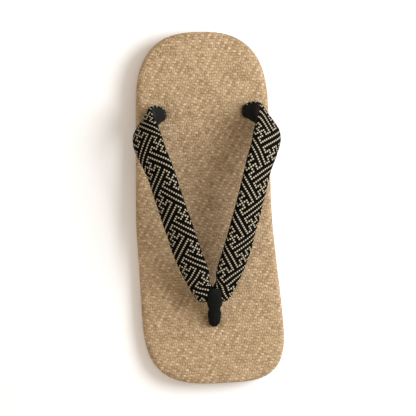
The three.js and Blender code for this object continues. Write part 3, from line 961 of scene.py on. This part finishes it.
def build_thong(settings, velvet):
    """The maetsubo: smooth where it wraps the point of the V, gathered below its waist."""
    points = [Vector((FRONT_HOLE.x, row.y, footbed_top(row.y) + row.up)) for row in THONG]
    keys = path_keys(points)
    steps = int(keys[-1] / THONG_STEP)
    waist = keys[THONG_WAIST_ROW]
    aside = Vector((1.0, 0.0, 0.0))

    def place(at):
        row = smooth_row(keys, THONG, at)
        return Vector((FRONT_HOLE.x, row.y, footbed_top(row.y) + row.up))

    bm = bmesh.new()
    loops = []
    for i in range(steps + 1):
        at = keys[-1] * i / steps
        row = smooth_row(keys, THONG, at)
        tangent = (place(min(at + 0.3, keys[-1])) - place(max(at - 0.3, 0.0))).normalized()
        up = tangent.cross(aside).normalized()
        ring = []
        for k in range(THONG_SIDES):
            turn = 2 * math.pi * k / THONG_SIDES
            c, s = math.cos(turn), math.sin(turn)
            sideways = row.wide / 2 * signed_power(c, 2 / THONG_SECTION_POWER)
            upward = row.tall / 2 * signed_power(s, 2 / THONG_SECTION_POWER)
            spread = Vector((sideways, upward))
            below = ease(at, waist - 3.0, waist + 2.0)
            gather = abs(math.cos(5.5 * turn + 0.4 * math.sin(at * 0.7)))
            swell = 0.55 * below * (gather - 0.6)
            swell += 0.28 * noise.noise(Vector((c * 2.0, s * 2.0, at * 0.3)))
            swell += 0.3 * below * noise.noise(Vector((c * 5.0, s * 5.0, at * 0.9)))
            spread += spread.normalized() * swell
            ring.append(place(at) + aside * spread.x + up * spread.y)
        loops.append(add_loop(bm, ring))
    join_loops(bm, loops)
    return finished(bm, "maetsubo_thong", [velvet], ["maetsubo"], sharp=80.0)


# ---- Stage -------------------------------------------------------------------------------------------------


def build_floor(settings):
    bm = bmesh.new()
    bmesh.ops.create_grid(bm, x_segments=1, y_segments=1, size=4.0)
    mesh = bpy.data.meshes.new("floor")
    bm.to_mesh(mesh)
    bm.free()
    finish = Finish("matt white floor")
    patch = finish.noise(finish.place((1.0, 1.0, 1.0)), 3.0, 2.0)
    dark = tuple(c * 0.985 for c in settings.floor)
    colour = finish.mix(patch, dark, settings.floor)
    mesh.materials.append(finish.surface(colour, 0.8, patch, 0.01, {"Specular IOR Level": 0.1}))
    floor = bpy.data.objects.new("floor", mesh)
    bpy.context.scene.collection.objects.link(floor)


def build_key_light(settings):
    """One large soft disc, facing the middle of the shoe."""
    data = bpy.data.lights.new("key softbox", "AREA")
    data.shape = "DISK"
    data.size = KEY_SIZE
    data.energy = settings.key_power
    data.color = KEY_COLOUR
    light = bpy.data.objects.new("key softbox", data)
    place = Vector(settings.key_place)
    light.location = place
    light.rotation_euler = (-place).to_track_quat("-Z", "Y").to_euler()
    bpy.context.scene.collection.objects.link(light)


def build_camera(settings):
    data = bpy.data.cameras.new("camera")
    data.sensor_fit = "HORIZONTAL"
    data.angle = settings.angle
    camera = bpy.data.objects.new("camera", data)
    eye, aim = Vector(settings.eye), Vector(settings.aim)
    back = (eye - aim).normalized()
    top = Vector((math.sin(settings.roll), math.cos(settings.roll), 0.0))
    right = top.cross(back).normalized()
    turned = Matrix((right, back.cross(right), back)).transposed()
    camera.matrix_world = Matrix.Translation(eye) @ turned.to_4x4()
    bpy.context.scene.collection.objects.link(camera)
    bpy.context.scene.camera = camera


def build_world(settings):
    world = bpy.data.worlds.new("pale room")
    world.use_nodes = True
    background = world.node_tree.nodes["Background"]
    background.inputs["Color"].default_value = (*SKY_COLOUR, 1.0)
    background.inputs["Strength"].default_value = settings.sky
    bpy.context.scene.world = world
    bpy.context.scene.view_settings.view_transform = "Standard"


# ---- Operators, panel and registration ---------------------------------------------------------------------


class ZORI_OT_footbed(bpy.types.Operator):
    """Build the cloth-wrapped footbed"""

    bl_idname = "zori.footbed"
    bl_label = "Footbed"

    def execute(self, context):
        build_footbed(context.scene.zori_sole)
        return {"FINISHED"}


class ZORI_OT_outsole(bpy.types.Operator):
    """Build the leather outsole"""

    bl_idname = "zori.outsole"
    bl_label = "Outsole"

    def execute(self, context):
        build_outsole(context.scene.zori_sole)
        return {"FINISHED"}


class ZORI_OT_heel(bpy.types.Operator):
    """Build the heel lift and its nails"""

    bl_idname = "zori.heel"
    bl_label = "Heel lift and nails"

    def execute(self, context):
        build_lift(context.scene.zori_sole)
        build_nails(context.scene.zori_sole)
        return {"FINISHED"}


class ZORI_OT_hanao(bpy.types.Operator):
    """Build the two padded arms of the hanao and their linings"""

    bl_idname = "zori.hanao"
    bl_label = "Hanao"

    def execute(self, context):
        settings = context.scene.zori_strap
        velvet = black_velvet(settings, "black velvet lining", 1.0, 0.06)
        for hand in (1, -1):
            build_arm(settings, hand)
            build_lining(settings, hand, velvet)
        return {"FINISHED"}


class ZORI_OT_maetsubo(bpy.types.Operator):
    """Build the front thong"""

    bl_idname = "zori.maetsubo"
    bl_label = "Maetsubo"

    def execute(self, context):
        settings = context.scene.zori_strap
        build_thong(settings, black_velvet(settings, "black thong cloth", 0.7, 0.0))
        return {"FINISHED"}


class ZORI_OT_stage(bpy.types.Operator):
    """Build the floor, the lights and the camera"""

    bl_idname = "zori.stage"
    bl_label = "Stage"

    def execute(self, context):
        settings = context.scene.zori_stage
        build_floor(settings)
        build_world(settings)
        build_key_light(settings)
        build_camera(settings)
        return {"FINISHED"}


class ZORI_PT_panel(bpy.types.Panel):
    """The sandal's pieces, in the order a maker puts them together"""

    bl_idname = "ZORI_PT_panel"
    bl_label = "Zori sandal"
    bl_space_type = "VIEW_3D"
    bl_region_type = "UI"
    bl_category = "Zori"

    def draw(self, context):
        for operator in OPERATORS:
            self.layout.operator(operator.bl_idname)


OPERATORS = (
    ZORI_OT_footbed,
    ZORI_OT_outsole,
    ZORI_OT_heel,
    ZORI_OT_hanao,
    ZORI_OT_maetsubo,
    ZORI_OT_stage,
)
SETTINGS = {"zori_sole": SoleSettings, "zori_strap": StrapSettings, "zori_stage": StageSettings}


def register():
    for name, group in SETTINGS.items():
        bpy.utils.register_class(group)
        setattr(bpy.types.Scene, name, PointerProperty(type=group))
    for cls in (*OPERATORS, ZORI_PT_panel):
        bpy.utils.register_class(cls)


def unregister():
    for cls in (ZORI_PT_panel, *reversed(OPERATORS)):
        bpy.utils.unregister_class(cls)
    for name, group in SETTINGS.items():
        delattr(bpy.types.Scene, name)
        bpy.utils.unregister_class(group)


def main():
    register()
    bpy.ops.zori.footbed()
    bpy.ops.zori.outsole()
    bpy.ops.zori.heel()
    bpy.ops.zori.hanao()
    bpy.ops.zori.maetsubo()
    bpy.ops.zori.stage()


if __name__ == "__main__":
    main()
